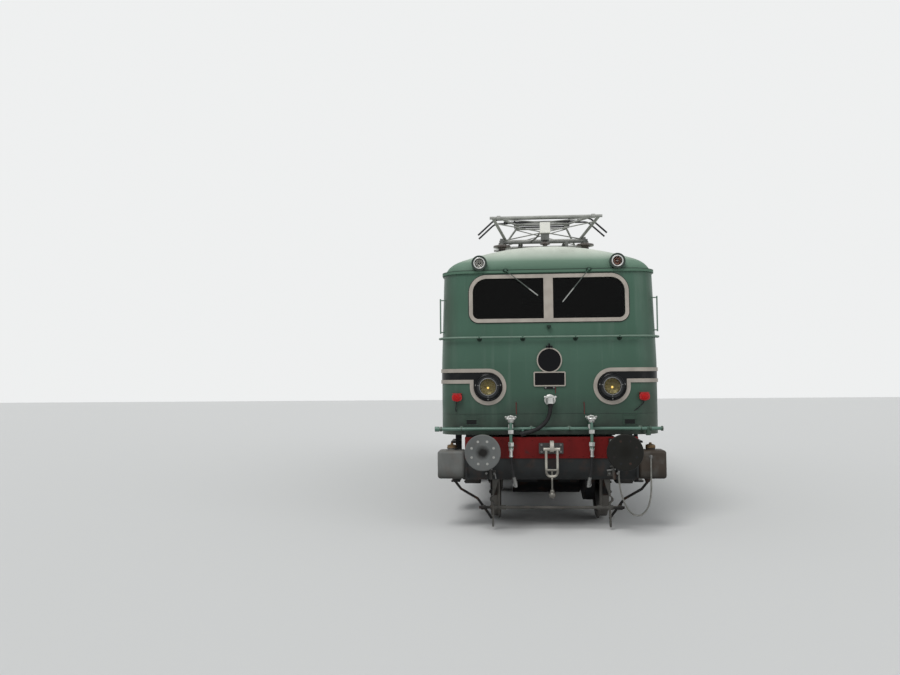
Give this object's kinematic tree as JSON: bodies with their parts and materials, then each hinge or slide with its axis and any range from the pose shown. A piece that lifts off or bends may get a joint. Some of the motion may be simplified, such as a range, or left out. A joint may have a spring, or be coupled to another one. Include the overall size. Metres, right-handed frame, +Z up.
{
  "type": "electric locomotive",
  "caption": "Box-shaped electric locomotive with a cab at each end, rounded corners, louvred sides, folded pantographs, side buffers and bogies that turn under a hollow body.",
  "frame": {"origin": "on the floor under the middle of the locomotive, at the height of the wheel flanges' tips; the rails' top is 28 mm higher", "axes": "+Y along the locomotive, the pictured cab faces -Y; +Z up; +X to the right for someone in front of the pictured cab, looking at it"},
  "size_m": [3.037, 12.984, 4.5191],
  "materials": {
    "green_paint": "satin",
    "roof_paint": "matte",
    "bright_trim": "satin",
    "black_paint": "satin",
    "window_glass": "polished",
    "louvre_metal": "satin",
    "lamp_housing": "satin",
    "rail_steel": "worn",
    "cab_paint": "satin",
    "seat_leather": "matte",
    "machine_paint": "satin",
    "underframe_paint": "matte",
    "bogie_paint": "matte",
    "grey_paint": "satin",
    "wheel_steel": "worn",
    "brake_iron": "rough",
    "spring_steel": "matte",
    "drawgear_steel": "worn",
    "roof_gear_paint": "satin",
    "pantograph_paint": "satin",
    "hose_rubber": "matte",
    "coupling_metal": "worn"
  },
  "bodies": {
    "body": {"underframe": "underframe_paint", "side_walls": "green_paint", "cab_fronts": "green_paint", "roof": "roof_paint", "roof_hatches": "roof_paint", "bright_trim": "bright_trim", "glazing": "window_glass", "side_louvres": "louvre_metal", "waist_band": "black_paint", "lamps": "lamp_housing", "wipers": "black_paint", "handrails": "rail_steel", "end_pipes": "green_paint", "blank_plaques": "bright_trim", "cab_fittings": "cab_paint", "cab_seats": "seat_leather", "machine_block": "machine_paint", "underfloor_boxes": "underframe_paint", "roof_electrics": "roof_gear_paint", "front_hose_left": "hose_rubber", "front_hose_right": "hose_rubber", "rear_hose_left": "hose_rubber", "rear_hose_right": "hose_rubber", "jumper_cables": "hose_rubber", "hose_couplings": "coupling_metal"},
    "front_bogie": {"front_bogie_frame": "bogie_paint", "front_axleboxes": "bogie_paint", "front_springs": "spring_steel", "front_brake_gear": "brake_iron", "front_motors": "bogie_paint", "front_buffers": "grey_paint", "front_drawgear": "drawgear_steel", "front_sandboxes": "grey_paint", "front_loose_cable": "hose_rubber"},
    "wheelset_front_outer": {"wheelset_front_outer": "wheel_steel"},
    "wheelset_front_inner": {"wheelset_front_inner": "wheel_steel"},
    "rear_bogie": {"rear_bogie_frame": "bogie_paint", "rear_axleboxes": "bogie_paint", "rear_springs": "spring_steel", "rear_brake_gear": "brake_iron", "rear_motors": "bogie_paint", "rear_buffers": "grey_paint", "rear_drawgear": "drawgear_steel", "rear_sandboxes": "grey_paint"},
    "wheelset_rear_outer": {"wheelset_rear_outer": "wheel_steel"},
    "wheelset_rear_inner": {"wheelset_rear_inner": "wheel_steel"},
    "door_front_right": {"door_front_right": "green_paint"},
    "door_front_left": {"door_front_left": "green_paint"},
    "door_rear_right": {"door_rear_right": "green_paint"},
    "door_rear_left": {"door_rear_left": "green_paint"},
    "front_panto_outer_lower_arm": {"front_panto_outer_lower_arm": "pantograph_paint"},
    "front_panto_inner_lower_arm": {"front_panto_inner_lower_arm": "pantograph_paint"},
    "front_panto_outer_upper_arm": {"front_panto_outer_upper_arm": "pantograph_paint"},
    "front_panto_inner_upper_arm": {"front_panto_inner_upper_arm": "pantograph_paint"},
    "front_panto_head": {"front_panto_head": "coupling_metal"},
    "rear_panto_outer_lower_arm": {"rear_panto_outer_lower_arm": "pantograph_paint"},
    "rear_panto_inner_lower_arm": {"rear_panto_inner_lower_arm": "pantograph_paint"},
    "rear_panto_outer_upper_arm": {"rear_panto_outer_upper_arm": "pantograph_paint"},
    "rear_panto_inner_upper_arm": {"rear_panto_inner_upper_arm": "pantograph_paint"},
    "rear_panto_head": {"rear_panto_head": "coupling_metal"}
  },
  "joints": [
    {"name": "front_bogie_yaw", "type": "hinge", "parent": "body", "child": "front_bogie", "pos_m": [0, -3.2, 1], "axis": [0, 0, 1], "range_deg": [-3, 3]},
    {"name": "front_outer_wheels", "type": "hinge", "parent": "front_bogie", "child": "wheelset_front_outer", "pos_m": [0, -4.675, 0.653], "axis": [1, 0, 0], "continuous": true},
    {"name": "front_inner_wheels", "type": "hinge", "parent": "front_bogie", "child": "wheelset_front_inner", "pos_m": [0, -1.725, 0.653], "axis": [1, 0, 0], "continuous": true},
    {"name": "rear_bogie_yaw", "type": "hinge", "parent": "body", "child": "rear_bogie", "pos_m": [0, 3.2, 1], "axis": [0, 0, 1], "range_deg": [-3, 3]},
    {"name": "rear_outer_wheels", "type": "hinge", "parent": "rear_bogie", "child": "wheelset_rear_outer", "pos_m": [0, 4.675, 0.653], "axis": [1, 0, 0], "continuous": true},
    {"name": "rear_inner_wheels", "type": "hinge", "parent": "rear_bogie", "child": "wheelset_rear_inner", "pos_m": [0, 1.725, 0.653], "axis": [1, 0, 0], "continuous": true},
    {"name": "door_front_right_hinge", "type": "hinge", "parent": "body", "child": "door_front_right", "pos_m": [1.36, -3.722, 2.4], "axis": [0, 0, -1], "range_deg": [0, 88]},
    {"name": "door_front_left_hinge", "type": "hinge", "parent": "body", "child": "door_front_left", "pos_m": [-1.36, -3.722, 2.4], "axis": [0, 0, 1], "range_deg": [0, 88]},
    {"name": "door_rear_right_hinge", "type": "hinge", "parent": "body", "child": "door_rear_right", "pos_m": [1.36, 3.722, 2.4], "axis": [0, 0, 1], "range_deg": [0, 88]},
    {"name": "door_rear_left_hinge", "type": "hinge", "parent": "body", "child": "door_rear_left", "pos_m": [-1.36, 3.722, 2.4], "axis": [0, 0, -1], "range_deg": [0, 88]},
    {"name": "front_pantograph", "type": "hinge", "parent": "body", "child": "front_panto_outer_lower_arm", "pos_m": [0, -4.07, 4.12], "axis": [-1, 0, 0], "range_deg": [0, 42]},
    {"name": "front_pantograph_inner", "type": "hinge", "parent": "body", "child": "front_panto_inner_lower_arm", "pos_m": [0, -3.43, 4.12], "axis": [1, 0, 0], "range_deg": [0, 42]},
    {"name": "front_pantograph_outer_knee", "type": "hinge", "parent": "front_panto_outer_lower_arm", "child": "front_panto_outer_upper_arm", "pos_m": [0, -5.2412, 4.26381], "axis": [1, 0, 0], "range_deg": [0, 80.6]},
    {"name": "front_pantograph_inner_knee", "type": "hinge", "parent": "front_panto_inner_lower_arm", "child": "front_panto_inner_upper_arm", "pos_m": [0, -2.2588, 4.26381], "axis": [-1, 0, 0], "range_deg": [0, 80.6]},
    {"name": "front_pantograph_head", "type": "hinge", "parent": "front_panto_outer_upper_arm", "child": "front_panto_head", "pos_m": [0, -3.84, 4.41108], "axis": [-1, 0, 0], "range_deg": [0, 38.6]},
    {"name": "rear_pantograph", "type": "hinge", "parent": "body", "child": "rear_panto_outer_lower_arm", "pos_m": [0, 4.07, 4.12], "axis": [1, 0, 0], "range_deg": [0, 42]},
    {"name": "rear_pantograph_inner", "type": "hinge", "parent": "body", "child": "rear_panto_inner_lower_arm", "pos_m": [0, 3.43, 4.12], "axis": [-1, 0, 0], "range_deg": [0, 42]},
    {"name": "rear_pantograph_outer_knee", "type": "hinge", "parent": "rear_panto_outer_lower_arm", "child": "rear_panto_outer_upper_arm", "pos_m": [0, 5.2412, 4.26381], "axis": [-1, 0, 0], "range_deg": [0, 80.6]},
    {"name": "rear_pantograph_inner_knee", "type": "hinge", "parent": "rear_panto_inner_lower_arm", "child": "rear_panto_inner_upper_arm", "pos_m": [0, 2.2588, 4.26381], "axis": [1, 0, 0], "range_deg": [0, 80.6]},
    {"name": "rear_pantograph_head", "type": "hinge", "parent": "rear_panto_outer_upper_arm", "child": "rear_panto_head", "pos_m": [0, 3.84, 4.41108], "axis": [1, 0, 0], "range_deg": [0, 38.6]}
  ],
  "couplings": [
    {"joint": "front_pantograph_inner", "follows": "front_pantograph", "ratio": 1},
    {"joint": "front_pantograph_outer_knee", "follows": "front_pantograph", "ratio": 1.9176},
    {"joint": "front_pantograph_inner_knee", "follows": "front_pantograph", "ratio": 1.9176},
    {"joint": "front_pantograph_head", "follows": "front_pantograph", "ratio": 0.9176},
    {"joint": "rear_pantograph_inner", "follows": "rear_pantograph", "ratio": 1},
    {"joint": "rear_pantograph_outer_knee", "follows": "rear_pantograph", "ratio": 1.9176},
    {"joint": "rear_pantograph_inner_knee", "follows": "rear_pantograph", "ratio": 1.9176},
    {"joint": "rear_pantograph_head", "follows": "rear_pantograph", "ratio": 0.9176}
  ]
}
